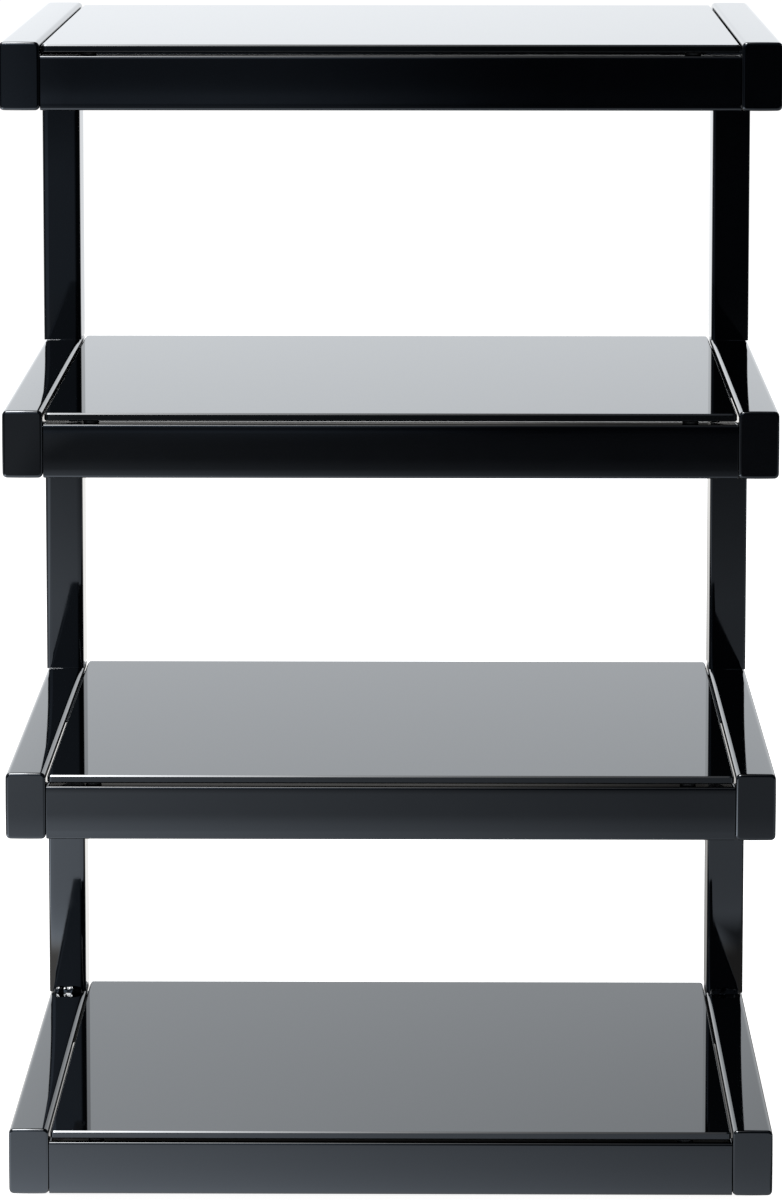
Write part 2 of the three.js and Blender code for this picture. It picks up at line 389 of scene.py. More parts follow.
def black_glass(settings):
    """Black tempered glass: polished, with the faint long waves of the tempering rollers.

    The underside carries a baked ink, which takes half of its polish away, and the edges that
    face the side rails are ground and not polished.
    """

    def build(finish):
        rollers = finish.noise(160 * MM, detail=0.0, point=finish.stretched((0.15, 1.0, 1.0)))
        film = finish.noise(70 * MM, detail=3.0, rough=0.55)
        colour = finish.mottle(film, settings.colour, dark=0.8, light=1.25)
        polished = finish.node("BsdfPrincipled", None, {
            "Base Color": colour,
            "Roughness": settings.roughness * finish.between(
                film, low=0.5, high=2.0, low_from=0.35, high_from=0.8
            ),
            "IOR": 1.5,
            "Normal": finish.bump(rollers, settings.wave_height),
        })
        ink = finish.node("BsdfPrincipled", None, {
            "Base Color": colour,
            "Roughness": 0.8,
            "Specular IOR Level": 0.2,
        })
        across, _, up = split(finish, finish.node("NewGeometry").outputs["Normal"])
        under = finish.between(up, low=settings.ink, high=0.0, low_from=-0.9, high_from=-0.5)
        ground = finish.between(
            across.size(), low=0.0, high=settings.grind, low_from=0.6, high_from=0.9
        )
        mix = finish.node("MixShader", None, {
            0: under.at_least(ground), 1: polished.outputs[0], 2: ink.outputs[0]})
        finish.node("OutputMaterial", None, {"Surface": mix.outputs[0]})
        return finish.owner

    return finish_once("polished_black_glass", build)


def soft_rubber(settings):
    """Matte black rubber with a fine grain and a dusty bloom."""

    def build(finish):
        grain = finish.noise(0.4 * MM, detail=2.0)
        bloom = finish.noise(4 * MM, detail=3.0)
        return finish.surface({
            "Base Color": finish.mottle(bloom, settings.colour, dark=0.75, light=1.5),
            "Roughness": finish.between(bloom, 0.62, 0.82, *MOTTLE_RANGE),
            "Normal": finish.bump(grain, distance=0.03 * MM),
        })

    return finish_once("soft_rubber", build)


def bright_zinc(settings):
    """Zinc plate: metal with cloudy spangle and fine turning marks."""

    def build(finish):
        spangle = finish.noise(3 * MM, detail=2.0)
        marks = finish.noise(0.6 * MM, detail=1.0, point=finish.stretched((1.0, 1.0, 6.0)))
        return finish.surface({
            "Base Color": finish.mottle(spangle, settings.zinc_colour, dark=0.85, light=1.12),
            "Metallic": 1.0,
            "Roughness": finish.between(spangle, 0.22, 0.42, *MOTTLE_RANGE),
            "Normal": finish.bump(marks, distance=0.01 * MM),
        })

    return finish_once("bright_zinc", build)


def moulded_plastic(settings):
    """Black moulded plastic with a fine sparked texture."""

    def build(finish):
        spark = finish.noise(0.7 * MM, detail=3.0)
        cloud = finish.noise(12 * MM, detail=2.0)
        return finish.surface({
            "Base Color": finish.mottle(cloud, settings.base_colour, dark=0.8, light=1.3),
            "Roughness": finish.between(cloud, 0.42, 0.58, *MOTTLE_RANGE),
            "Normal": finish.bump(spark, distance=0.04 * MM),
        })

    return finish_once("moulded_plastic", build)


# The tint of daylight, for the dome and the soft box
COOL = (0.97, 1.0, 1.03, 1.0)

# The floor's painted glow: light painted into the floor that only reflections see, so the steel
# mirrors set tones. A fade holds its first and last value and where in metres it begins and ends.
# The stops hold a share of the reach in front of the rack, and the glow there.
FLOOR_REACH = 4.5
FLOOR_STOPS = (
    (0.0, 1.17), (0.27, 1.17), (0.304, 0.93), (0.331, 0.60), (0.43, 0.61), (0.57, 0.42),
    (0.76, 0.23), (0.87, 0.085), (1.0, 0.08),
)
NEAR_GLOW, NEAR_REACH = 1.3, 0.08
LEAN, LEAN_LEFT, LEAN_RIGHT = -1.5, -0.45, 0.28
LEFT_FADE = (2.3, 1.0, -0.60, -0.52)
FAR_LEFT_FADE = (0.15, 1.0, -1.3, -0.8)
CORNER_FADE = (1.0, 0.15, 0.295, 0.325)
CORNER_END = (0.0, 1.0, 0.02, 0.16)
BESIDE_FADE = (1.2, 0.25, 0.0, 0.3)
BESIDE_BLEND = 0.05
BESIDE_TINT = (1.01, 1.0, 0.98, 1.0)
# The painted shadow under the rack: the share of the glow left there, the width of its edge, and
# how far inside the rack's front and beyond its rear it ends
PAINTED_SHADOW_GLOW, PAINTED_SHADOW_EDGE, PAINTED_SHADOW_FRONT, PAINTED_SHADOW_REAR = 0.14, 0.08, 0.04, 0.06


def pale_floor(settings):
    """Pale studio floor: soft white to the eye, with a painted glow that only reflections see.

    The glow is painted light, an emission that only glossy rays meet, so the polished steel shows
    painted reflections. Mirrored in the rack's front, the glow is
    (far + near * exp(-d / reach)) * exp(lean * x), with d the distance from the rack's front, and
    far falls off with d as a ramp says. It is painted brighter left of the rack, dim far off to
    the left, and dim round the right front corner. Beside and behind the rack it has one strength
    on the left and a lower one on the right. Under the rack a painted shadow takes most of the
    glow and all of the floor's own light to the eye. Far off the floor fades out.
    """

    def build(finish):
        x, y, _ = split(finish, finish.place())
        # Painted reflection light: near, far, lean, corner and beside shape the glow that only
        # glossy rays see
        front = (cad_low[1] - y).at_least(0.0)
        far = finish.ramp(front * (1 / FLOOR_REACH), FLOOR_STOPS)
        near = (front * (-1 / NEAR_REACH)).power_of_e() * NEAR_GLOW
        lean = (x.at_least(LEAN_LEFT).at_most(LEAN_RIGHT) * LEAN).power_of_e()
        lean = lean * finish.between(x, *LEFT_FADE) * finish.between(x, *FAR_LEFT_FADE)
        corner = finish.between(x, *CORNER_FADE).at_least(finish.between(front, *CORNER_END))
        turn = finish.between(y, 0.0, 1.0, cad_low[1] - BESIDE_BLEND, cad_low[1] + BESIDE_BLEND)
        beside = turn * finish.between(x, *BESIDE_FADE)
        level = (near + far) * lean * corner * (1.0 - turn) + beside
        # Painted shadow: 1 outside the rack's box, falling to 0 under it, which darkens the glow
        # and the floor's own light there
        out = (x.size() - cad_high[0]).at_least(y - (cad_high[1] + PAINTED_SHADOW_REAR))
        out = out.at_least(cad_low[1] + PAINTED_SHADOW_FRONT - y)
        outside_painted_shadow = finish.between(out, 0.0, 1.0, -PAINTED_SHADOW_EDGE, 0.0)
        level = level * (outside_painted_shadow * (1 - PAINTED_SHADOW_GLOW) + PAINTED_SHADOW_GLOW) * settings.floor_painted_glow
        tint = finish.blend(turn, shade(settings.floor_tint, 1.0), BESIDE_TINT)
        # The painted glow, given off as light that only glossy rays see
        mirrored = finish.node("Emission", None, {"Color": tint, "Strength": level})

        cloud = finish.noise(800 * MM, detail=2.0)
        # The floor's even light to the eye, cut to nothing under the rack as a painted shadow
        white = finish.node("VectorMath", {"operation": "SCALE"}, {
            0: (1.0, 1.0, 1.0), "Scale": outside_painted_shadow * settings.floor_lift})
        paint = finish.node("BsdfPrincipled", None, {
            "Base Color": finish.mottle(cloud, settings.floor_colour, dark=0.98, light=1.0),
            "Roughness": 0.9,
            "Specular IOR Level": 0.0,
            "Emission Color": white.outputs[0],
            "Emission Strength": 1.0,
        })
        path = finish.node("LightPath")
        sheet = finish.node("MixShader", None, {
            0: path.outputs["Is Glossy Ray"], 1: paint.outputs[0], 2: mirrored.outputs[0]})
        clear = finish.node("BsdfTransparent")
        away = (x * x + y * y).power(0.5)
        fade = finish.between(away, 0.0, 1.0, settings.floor_fade, settings.floor_end)
        mix = finish.node("MixShader", None, {0: fade, 1: sheet.outputs[0], 2: clear.outputs[0]})
        finish.node("OutputMaterial", None, {"Surface": mix.outputs[0]})
        return finish.owner

    return finish_once("pale_floor", build)


def dress(piece, material, body, slot, *nodes):
    """Gives a piece its material and the body it rides on; hides the solids it stands for."""
    piece.data.materials.append(material)
    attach(piece, body)
    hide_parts(*nodes)


# Settings


ANGLE = {"subtype": "ANGLE", "unit": "ROTATION"}


def amount(name, description, default, low, high, **kind):
    """A property that holds a number, whose subtype and unit are in kind."""
    return FloatProperty(
        name=name, description=description, default=default, min=low, max=high, **kind)


def length(name, description, default, low, high):
    """A property that holds a length."""
    return amount(name, description, default, low, high, subtype="DISTANCE", unit="LENGTH")


def colour_of(name, description, default, high=1):
    """A property that holds a colour."""
    return FloatVectorProperty(
        name=name, description=description, default=default, min=0, max=high, size=3,
        subtype="COLOR")


def share_of(name, description, default):
    """A property that holds a share from 0 to 1."""
    return amount(name, description, default, 0, 1, subtype="FACTOR")


class SteelSettings(PropertyGroup):
    """Sizes and finish of the painted steel."""

    rail_corner: length(
        "Rail corner radius", "Outer radius of the side rail tube", 4.4 * MM, 0.5 * MM, 10 * MM)
    crown: length(
        "Crown", "How far the middle of each face of the tubes bulges", 0.1 * MM, 0, 0.5 * MM)
    post_corner: length(
        "Post corner radius", "Outer radius of the post tube", 1.8 * MM, 0.5 * MM, 10 * MM)
    post_crown: length(
        "Post crown", "How far the middle of each face of a post bulges", 0.012 * MM, 0, 0.5 * MM)
    turn_left: amount(
        "Left post turn", "How far a left post's front face turns to the right",
        0.011, 0, 0.05, **ANGLE)
    turn_right: amount(
        "Right post turn", "How far a right post's front face turns to the right",
        0.018, 0, 0.05, **ANGLE)
    rail_rounding: length(
        "Rail end rounding", "Rounding round the closed ends of the side rails",
        2.1 * MM, 0.1 * MM, 3 * MM)
    cross_corner: length(
        "Cross rail corner radius", "Outer radius of the front and rear rails",
        2.2 * MM, 0.5 * MM, 8 * MM)
    seam_rounding: length(
        "Seam rounding", "Rounding of a cross rail's ends beside the seams",
        0.6 * MM, 0.05 * MM, 3 * MM)
    fillet: length(
        "Paint fillet", "Size of the fillet of paint at the foot of a post",
        0.4 * MM, 0.1 * MM, 3 * MM)
    joint_rounding: length(
        "Joint rounding", "Rounding of cut tube ends where two tubes meet",
        0.3 * MM, 0.05 * MM, 2 * MM)
    colour: colour_of("Paint colour", "Colour of the gloss coating", (0.0004, 0.0005, 0.0008))
    roughness: share_of("Paint roughness", "Mean roughness of the gloss coating", 0.03)
    flow_height: length(
        "Flow height", "Height of the long waves in the coating", 0.000004, 0, 0.0001)
    peel_height: length(
        "Orange peel height", "Height of the fine dimples in the coating", 0.0000006, 0, 0.0001)


class WeldSettings(PropertyGroup):
    """Shape of the weld beads at the feet of the lowest posts."""

    ripples: IntProperty(
        name="Ripples", description="Number of ripples along a bead",
        default=9, min=0, max=40)
    ripple_height: length(
        "Crown height", "Height of the bead's crown, with its ripples and lumps",
        0.9 * MM, 0, 1 * MM)


class GlassSettings(PropertyGroup):
    """Sizes and finish of the glass shelves."""

    corner: length(
        "Corner radius", "Radius of the shelf's four corners, seen from above",
        3.0 * MM, 1 * MM, 30 * MM)
    arris: length(
        "Arris", "Size of the flat bevel along the polished edges", 1.1 * MM, 0.1 * MM, 2.5 * MM)
    colour: colour_of("Glass colour", "Colour of the opaque glass", (0.0008, 0.0010, 0.0012))
    roughness: share_of("Glass roughness", "Mean roughness of the polished face", 0.012)
    ink: share_of("Ink", "How far the ink takes the polish off the underside", 0.6)
    grind: share_of("Grind", "How far grinding takes the polish off the side edges", 0.8)
    wave_height: length(
        "Wave height", "Height of the long waves left by tempering", 0.000012, 0, 0.0005)


class PadSettings(PropertyGroup):
    """Shape and colour of the pads under the glass."""

    rounding: length("Edge rounding", "Rounding of the pad's rims", 0.5 * MM, 0.1 * MM, 1.4 * MM)
    bulge: length(
        "Bulge", "How far the loaded pad swells at half its height", 0.15 * MM, 0, 1 * MM)
    colour: colour_of("Rubber colour", "Colour of the pad rubber", (0.006, 0.006, 0.006))


class FootSettings(PropertyGroup):
    """Shape and colours of the levelling feet and of the studs."""

    rim: length("Base rim", "Height of the upright rim of the foot base", 3.0 * MM, 1 * MM, 5 * MM)
    neck: length("Neck radius", "Radius of the foot base's top", 9.0 * MM, 6 * MM, 13 * MM)
    socket: length(
        "Socket radius", "Radius of the hole that holds the screw's tip", 4.3 * MM, 4 * MM, 6 * MM)
    socket_floor: length(
        "Socket floor", "Height of the bottom of that hole", 3.0 * MM, 1 * MM, 6 * MM)
    screw: length("Screw radius", "Outer radius of the thread", 4.0 * MM, 2 * MM, 6 * MM)
    pitch: length("Thread pitch", "Rise of the thread in one turn", 1.25 * MM, 0.5 * MM, 3 * MM)
    thread_depth: length("Thread depth", "Depth of the thread", 0.65 * MM, 0.1 * MM, 1.5 * MM)
    hexagon: length(
        "Hexagon radius", "Radius of the hexagon across its corners", 7.5 * MM, 5 * MM, 12 * MM)
    hexagon_height: length(
        "Hexagon height", "Height of the hexagon for the spanner", 5.0 * MM, 2 * MM, 10 * MM)
    base_colour: colour_of("Plastic colour", "Colour of the foot base", (0.010, 0.010, 0.011))
    zinc_colour: colour_of(
        "Zinc colour", "Colour of the plated screws and studs", (0.62, 0.64, 0.66))


class StudioSettings(PropertyGroup):
    """Floor, light and camera."""

    floor_colour: colour_of("Floor colour", "Colour of the studio floor", (0.86, 0.86, 0.86))
    # The strength of the painted glow in the floor, which only reflections see
    floor_painted_glow: amount(
        "Floor glow", "Strength of the light that comes through the floor", 1.0, 0, 10)
    floor_tint: colour_of(
        "Glow tint", "Colour of the floor's glow, as the steel mirrors it", (0.88, 1.0, 1.16), 2)
    floor_lift: amount(
        "Floor lift", "Light that the floor itself gives off to the eye", 0.95, 0, 2)
    floor_fade: length(
        "Floor fade", "Distance at which the floor begins to fade out", 4.6, 0.5, 20)
    floor_end: length("Floor end", "Distance at which the floor has faded out", 6.0, 1.0, 30)
    overhead_power: amount(
        "Overhead light", "Power of the soft light above and to the left",
        25.0, 0, 2000, unit="POWER")
    gleam: amount(
        "Gleam", "Brightness of the soft box that the polished edges mirror", 24.0, 0, 200)
    surround: amount("Surround", "Strength of the pale surroundings", 1.0, 0, 10)
    camera_place: FloatVectorProperty(
        name="Camera place", description="Where the camera stands",
        default=(0.0421, -4.4302, 1.1414), size=3, subtype="TRANSLATION", unit="LENGTH")
    camera_pitch: amount(
        "Camera pitch", "How far the camera looks down", 0.14018, -1.5, 1.5, **ANGLE)
    camera_yaw: amount(
        "Camera yaw", "How far the camera turns to the left", 0.00997, -3.2, 3.2, **ANGLE)
    lens: amount("Lens", "Focal length on a 36 mm wide sensor", 172.71, 10, 500, unit="CAMERA")
    rise: amount(
        "Lens shift", "Upright shift of the lens, as a share of the height",
        -0.1, -0.5, 0.5, subtype="FACTOR")


# Pieces


def painted_rails(settings, nodes, axis, outline, ends):
    """Makes a painted bar in place of each node."""
    paint = gloss_paint(settings)
    for node in nodes:
        rail = bar(node + "_painted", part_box(node), axis, outline, ends)
        dress(rail, paint, "frame", "gloss_black_steel", node)


class RACK_OT_side_rails(Operator):
    """Makes the eight side rails with their closed, rounded ends"""

    bl_idname = "rack.side_rails"
    bl_label = "Side rails"

    def execute(self, context):
        settings = context.scene.rack_steel
        painted_rails(
            settings, [f"side_rail_{level}_{side}" for level in LEVELS for side in SIDES], "Y",
            (settings.rail_corner, settings.crown, *RAIL_CURVE),
            (settings.rail_rounding, RAIL_END_STEPS))
        return {"FINISHED"}


class RACK_OT_cross_rails(Operator):
    """Makes the front and rear rails that carry the glass"""

    bl_idname = "rack.cross_rails"
    bl_label = "Cross rails"

    def execute(self, context):
        settings = context.scene.rack_steel
        painted_rails(
            settings, [f"{end}_rail_{level}" for level in LEVELS for end in ENDS], "X",
            (settings.cross_corner, settings.crown, *CROSS_CURVE),
            (settings.seam_rounding, CROSS_END_STEPS))
        return {"FINISHED"}


# Rings of a fillet of paint, and the power by which they crowd towards the foot
FILLET_RINGS, FILLET_CROWDING = 9, 1.5


def tube_post(name, box, settings, filleted, turn):
    """A post, with a hollow fillet of paint at the front of its foot where it has no weld.

    The fillet's reach at height h above the foot is size * (1 - sqrt(1 - (1 - h / size) ** 2)),
    for h up to size. The front face carries all of it, and the front corners less and less, to
    none where they face 60 degrees off. A hair above it lies one more ring. The front half is
    then sheared back by turn * (x - left) * share, with share from 0 in the middle to 1 in front.
    """
    outline = (settings.post_corner, settings.post_crown, *POST_CURVE)
    rings = rounded_block(*box, "Z", outline, (settings.joint_rounding, POST_END_STEPS))
    if filleted:
        size = settings.fillet
        points, normals = section(
            (box[1].x - box[0].x) / 2, (box[1].y - box[0].y) / 2, *outline)
        h = size * np.linspace(0, 1, FILLET_RINGS) ** FILLET_CROWDING
        reach = size * (1 - np.sqrt(1 - (1 - h / size) ** 2))
        h, reach = np.append(h, size + HAIR), np.append(reach, 0.0)
        facing = np.clip(-normals[:, 1] * 2 - 1, 0, 1)
        foot = np.repeat(rings[len(rings) // 2][None], len(h), axis=0)
        foot[..., :2] += (reach[:, None] * facing)[..., None] * normals
        foot[..., 2] = box[0].z + h[:, None]
        rings = np.concatenate([foot, rings[len(rings) // 2:]])
    half = (box[1].y - box[0].y) / 2
    share = np.clip((box[0].y + half - rings[..., 1]) / half, 0, 1)
    rings[..., 1] += turn * (rings[..., 0] - box[0].x) * share
    return closed_tube(name, rings)


class RACK_OT_posts(Operator):
    """Makes the six posts between the levels"""

    bl_idname = "rack.posts"
    bl_label = "Posts"

    def execute(self, context):
        settings = context.scene.rack_steel
        paint = gloss_paint(settings)
        for storey in STOREYS:
            for side in SIDES:
                node = f"post_{storey}_{side}"
                turn = getattr(settings, f"turn_{side}")
                post = tube_post(node + "_painted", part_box(node), settings, storey > 1, turn)
                dress(post, paint, "frame", "gloss_black_steel", node)
        return {"FINISHED"}


# Lumps of a weld bead: a wave's height as a share of the crown, its turning along the bead,
# down its face and with the bead's phase, and where it starts, all in radians
LUMPS = (
    (0.20, 6.4, 1.2, 2.0, 4.25),
    (0.05, 12.8, 2.4, 4.0, 8.5),
    (0.06, 9.1, -3.9, 1.0, 0.0),
    (0.03, 15.0, 21.0, 0.0, 1.3),
)
# The bead's rings, the points across each, and how near to its ends the rings reach
BEAD_RINGS, BEAD_POINTS, BEAD_REACH = 193, 25, 0.9995
# The bead's leg as a share of the corner's height, how far it sways, and how fast
BEAD_LEG, LEG_SWAY, LEG_WAVE = 0.84, 0.06, 6.1
# How far the ripples bow along the bead, and how the crown is shared out and leans
RIPPLE_BOW = 0.05
CROWN_MEAN, RIPPLE_SHARE, CROWN_LEAN = 1.1, 0.1, 0.6
# The part of a step square to the bead's slope that goes back, and the part that goes up
DIAGONAL = 0.7071


def weld_bead(name, low, high, settings, phase):
    """A weld bead along X in the corner between a floor and a wall behind it.

    Section: from the corner up the wall, along an arc to the toe on the floor and back. The
    arc's point at share s, from 0 at the wall, is the straight line between the two toes plus
    crown * sin(pi * s ** lean) square to it. Leg and crown shrink to nothing at the ends as
    sqrt(1 - t ** 8), with t from -1 to 1 along the bead. The leg sways a little as a sine, and
    the crown is its height times mean + share * |sin(pi * ripples * t / 2)| + the waves of the
    lumps.
    """
    t = np.linspace(-1, 1, BEAD_RINGS)[:, None] * BEAD_REACH
    s = np.linspace(0, 1, BEAD_POINTS)[None, :]
    fade = np.sqrt(1 - t ** 8)
    leg = (high.z - low.z) * fade * (BEAD_LEG + LEG_SWAY * np.sin(LEG_WAVE * t + phase))
    bowed = t + RIPPLE_BOW * np.sin(math.pi * s)
    ripple = np.abs(np.sin(math.pi * settings.ripples * bowed / 2))
    lumps = sum(
        height * np.sin(along * t + down * s + turn * phase + start)
        for height, along, down, turn, start in LUMPS
    )
    crown = settings.ripple_height * (CROWN_MEAN + RIPPLE_SHARE * ripple + lumps)
    crown = crown * fade * np.sin(math.pi * s ** CROWN_LEAN)
    back = leg * s + crown * DIAGONAL
    up = leg * (1 - s) + crown * DIAGONAL
    rings = np.empty((len(t), s.shape[1] + 1, 3))
    rings[..., 0] = (low.x + high.x) / 2 + (high.x - low.x) / 2 * t
    rings[:, 0, 1] = high.y
    rings[:, 0, 2] = low.z
    rings[:, 1:, 1] = high.y - back
    rings[:, 1:, 2] = low.z + up
    return closed_tube(name, rings)


class RACK_OT_welds(Operator):
    """Makes the weld beads at the feet of the lowest posts"""

    bl_idname = "rack.welds"
    bl_label = "Weld beads"

    def execute(self, context):
        paint = gloss_paint(context.scene.rack_steel)
        for phase, side in enumerate(SIDES):
            node = f"weld_bead_{side}"
            bead = weld_bead(node + "_painted", *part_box(node), context.scene.rack_weld, phase)
            dress(bead, paint, "frame", "gloss_black_steel", node)
        return {"FINISHED"}


class RACK_OT_glass(Operator):
    """Makes the four glass shelves with their polished edges"""

    bl_idname = "rack.glass"
    bl_label = "Glass shelves"

    def execute(self, context):
        settings = context.scene.rack_glass
        glass = black_glass(settings)
        for level in LEVELS:
            node = f"glass_shelf_{level}"
            shelf = bar(
                node + "_polished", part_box(node), "Z",
                (settings.corner, 0.0, *GLASS_CURVE), (settings.arris, FLAT_BEVEL))
            dress(shelf, glass, f"shelf_{level}", "black_glass", node)
        return {"FINISHED"}


PAD_AROUND, PAD_POINTS = 48, 9


def pad(name, low, high, settings):
    """A round pad: flat faces, rims of the given rounding and a side that swells in the middle.

    The side's radius at height share s is the radius less bulge * (2 * s - 1) ** 2.
    """
    radius = (high.x - low.x) / 2
    rim = settings.rounding
    inner = radius - settings.bulge
    low_r, low_z = arc(inner - rim, low.z + rim, rim, -90, 0)
    high_r, high_z = arc(inner - rim, high.z - rim, rim, 0, 90)
    s = np.linspace(0, 1, PAD_POINTS)[1:-1]
    side_r = radius - settings.bulge * (2 * s - 1) ** 2
    side_z = low.z + rim + s * (high.z - low.z - 2 * rim)
    radii = np.concatenate([[low_r[0] - HAIR], low_r, side_r, high_r, [high_r[-1] - HAIR]])
    heights = np.concatenate([[low.z], low_z, side_z, high_z, [high.z]])
    return turned(name, (low + high) / 2, radii, heights, PAD_AROUND)


class RACK_OT_pads(Operator):
    """Makes the sixteen rubber pads between the cross rails and the glass"""

    bl_idname = "rack.pads"
    bl_label = "Pads"

    def execute(self, context):
        settings = context.scene.rack_pad
        rubber = soft_rubber(settings)
        for level in LEVELS:
            for end in ENDS:
                for side in SIDES:
                    node = f"pad_{level}_{end}_{side}"
                    piece = pad(node + "_moulded", *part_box(node), settings)
                    dress(piece, rubber, "frame", "pad_rubber", node)
        return {"FINISHED"}


class RACK_OT_studs(Operator):
    """Gives the studs inside the posts their zinc finish"""

    bl_idname = "rack.studs"
    bl_label = "Studs"

    def execute(self, context):
        zinc = bright_zinc(context.scene.rack_foot)
        for storey in STOREYS:
            for side in SIDES:
                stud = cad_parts[f"post_stud_{storey}_{side}"]
                stud.data.materials.clear()
                stud.data.materials.append(zinc)
        return {"FINISHED"}


FOOT_AROUND = 96
# Roundings of the base's edges and of its lip, and the bevel round the socket
BASE_EDGE, BASE_LIP, SOCKET_LEAD = 0.5 * MM, 0.6 * MM, 0.3 * MM
# Where the rim's rounding ends, in degrees, the sweep's points and the power by which it rises
RIM_END, SWEEP_POINTS, SWEEP_LIFT = 80, 17, 1.6


def foot_base(name, low, high, settings):
    """A foot base: a flat sole, a rounded edge, an upright rim, a hollow sweep up to the neck, a
    rounded lip and the socket for the screw.

    At share s the sweep's radius is rim + (neck - rim) * sin(90 degrees * s), and its height is
    s ** lift of the way up, so it leaves the rim flat and meets the neck steep.
    """
    radius = (high.x - low.x) / 2
    edge, lip = BASE_EDGE, BASE_LIP
    sole_r, sole_z = arc(radius - edge, low.z + edge, edge, -90, 0)
    rim_z = low.z + settings.rim
    rim_r, rim_h = arc(radius - edge, rim_z - edge, edge, 0, RIM_END)
    s = np.linspace(0, 1, SWEEP_POINTS)[1:]
    sweep_r = rim_r[-1] + (settings.neck - rim_r[-1]) * np.sin(math.pi / 2 * s)
    sweep_z = rim_h[-1] + (high.z - lip - rim_h[-1]) * s ** SWEEP_LIFT
    top_r, top_z = arc(settings.neck - lip, high.z - lip, lip, 0, 90)
    hole = settings.socket
    radii = np.concatenate([
        [sole_r[0] - HAIR], sole_r, rim_r, sweep_r, top_r[1:], [top_r[-1] - HAIR],
        [hole + SOCKET_LEAD, hole, hole, hole - HAIR]])
    heights = np.concatenate([
        [low.z], sole_z, rim_h, sweep_z, top_z[1:], [high.z],
        [high.z, high.z - SOCKET_LEAD, settings.socket_floor, settings.socket_floor]])
    return turned(name, (low + high) / 2, radii, heights, FOOT_AROUND)


HEX_SIDES = 6
# The cone that turns the hexagon's corners: its points, its height, its radius on the face as a
# share of the apothem, and its angle from upright
CONE_POINTS, CONE_HEIGHT, CONE_FOOT, CONE_ANGLE = 9, 0.8 * MM, 0.97, math.radians(60)
# How far the screw's ends and the tip's bevel are set in, and the bevel's height
TIP_INSET, TIP_EDGE, TIP_RISE, END_INSET = 0.8 * MM, 0.3 * MM, 0.3 * MM, 0.6 * MM
# Depth of the plain tip and of the thread's run-out, as shares of the thread's depth
PLAIN_DEPTH, RUN_OUT_DEPTH = 0.3, 0.6
STEPS_PER_TURN = 8


def foot_screw(name, low, high, settings, sole):
    """A foot screw: a plain tip, a hexagon with turned corners and a threaded shank.

    The hexagon's radius at angle a is apothem / cos(a), a counted from the middle of its face,
    cut down near both faces by a cone. The thread's radius is the screw's less
    depth * |2 * frac(z / pitch - a / 360) - 1|, which fades out at both ends.
    """
    angle = np.arange(FOOT_AROUND) * 2 * math.pi / FOOT_AROUND
    hex_low, hex_high = sole.z, sole.z + settings.hexagon_height
    half_face = math.pi / HEX_SIDES
    apothem = settings.hexagon * math.cos(half_face)
    six = apothem / np.cos(np.mod(angle, 2 * half_face) - half_face)
    z = np.linspace(0, CONE_HEIGHT, CONE_POINTS)
    cone = apothem * CONE_FOOT + z * math.tan(CONE_ANGLE)
    up_r = np.minimum(six[None, :], cone[:, None])
    hex_r = np.concatenate([up_r, up_r[::-1]])
    hex_z = np.concatenate([hex_low + z, hex_high - z[::-1]])
    screw = settings.screw
    plain = screw - settings.thread_depth * PLAIN_DEPTH
    start, end = hex_high, high.z
    steps = int(round((end - start) / settings.pitch * STEPS_PER_TURN))
    h = np.linspace(start, end, steps + 1)[:, None]
    phase = np.mod((h - start) / settings.pitch - angle[None, :] / (2 * math.pi), 1)
    ease = np.clip((h - start) / settings.pitch, 0, 1) * np.clip((end - h) / settings.pitch, 0, 1)
    depth = RUN_OUT_DEPTH * (1 - ease) + ease * np.abs(2 * phase - 1)
    thread = screw - settings.thread_depth * depth
    ring = np.ones((1, FOOT_AROUND))
    radii = np.concatenate([
        ring * (plain - TIP_INSET), ring * (plain - TIP_EDGE), ring * plain, ring * plain,
        hex_r, thread, ring * (plain - END_INSET)])
    heights = np.concatenate([
        [low.z, low.z, low.z + TIP_RISE, hex_low], hex_z, h.ravel(), [end]])
    return turned(name, (low + high) / 2, radii, heights, FOOT_AROUND)


class RACK_OT_feet(Operator):
    """Makes the four levelling feet, each a moulded base and a plated screw"""

    bl_idname = "rack.feet"
    bl_label = "Levelling feet"

    def execute(self, context):
        settings = context.scene.rack_foot
        plastic, zinc = moulded_plastic(settings), bright_zinc(settings)
        for end in ENDS:
            for side in SIDES:
                body = f"foot_{end}_{side}"
                node = f"foot_base_{end}_{side}"
                low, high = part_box(node)
                base = foot_base(node + "_moulded", low, high, settings)
                dress(base, plastic, body, "foot_plastic", node)
                node = f"foot_screw_{end}_{side}"
                screw = foot_screw(node + "_plated", *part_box(node), settings, high)
                dress(screw, zinc, body, "zinc_steel", node)
        return {"FINISHED"}


# Studio


# The surroundings, as the rack mirrors them. A direction's side is its part along X, its depth
# that along Y and its level that along Z. The stops hold a height, from 0 straight down to 1
# straight up, and the light there, and a fade is as on the floor.
WALL_STOPS = (
    (0.0, 0.8), (0.47, 1.05), (0.515, 1.2), (0.53, 1.18), (0.56, 1.08), (0.59, 0.94),
    (0.62, 0.80), (0.70, 0.55), (1.0, 0.40),
)
WALL_LEAN, WALL_LEAN_GAIN, WALL_LEAN_LEVEL, WALL_LEAN_SPAN, WALL_SIDE = 0.6, 30.0, 0.2, 0.1, 0.15
WALL_FADE = (1.0, 0.35, 0.1, 0.5)
FRONT_STOPS = (
    (0.0, 0.5), (0.40, 0.40), (0.425, 0.24), (0.435, 0.14), (0.443, 0.26), (0.457, 0.26),
    (0.4615, 0.16), (0.464, 0.14), (0.47, 0.12), (0.50, 0.12), (0.568, 0.22), (0.598, 0.45),
    (0.63, 1.2), (0.70, 1.0), (1.0, 0.40),
)
FRONT_FADES = ((1.0, 0.08, -0.045, 0.02), (2.0, 1.0, -0.078, -0.066), (0.2, 1.0, -0.30, -0.12))
BOX_EDGE, BOX_FALL, BOX_LIMIT = 0.055, 0.03, 0.8
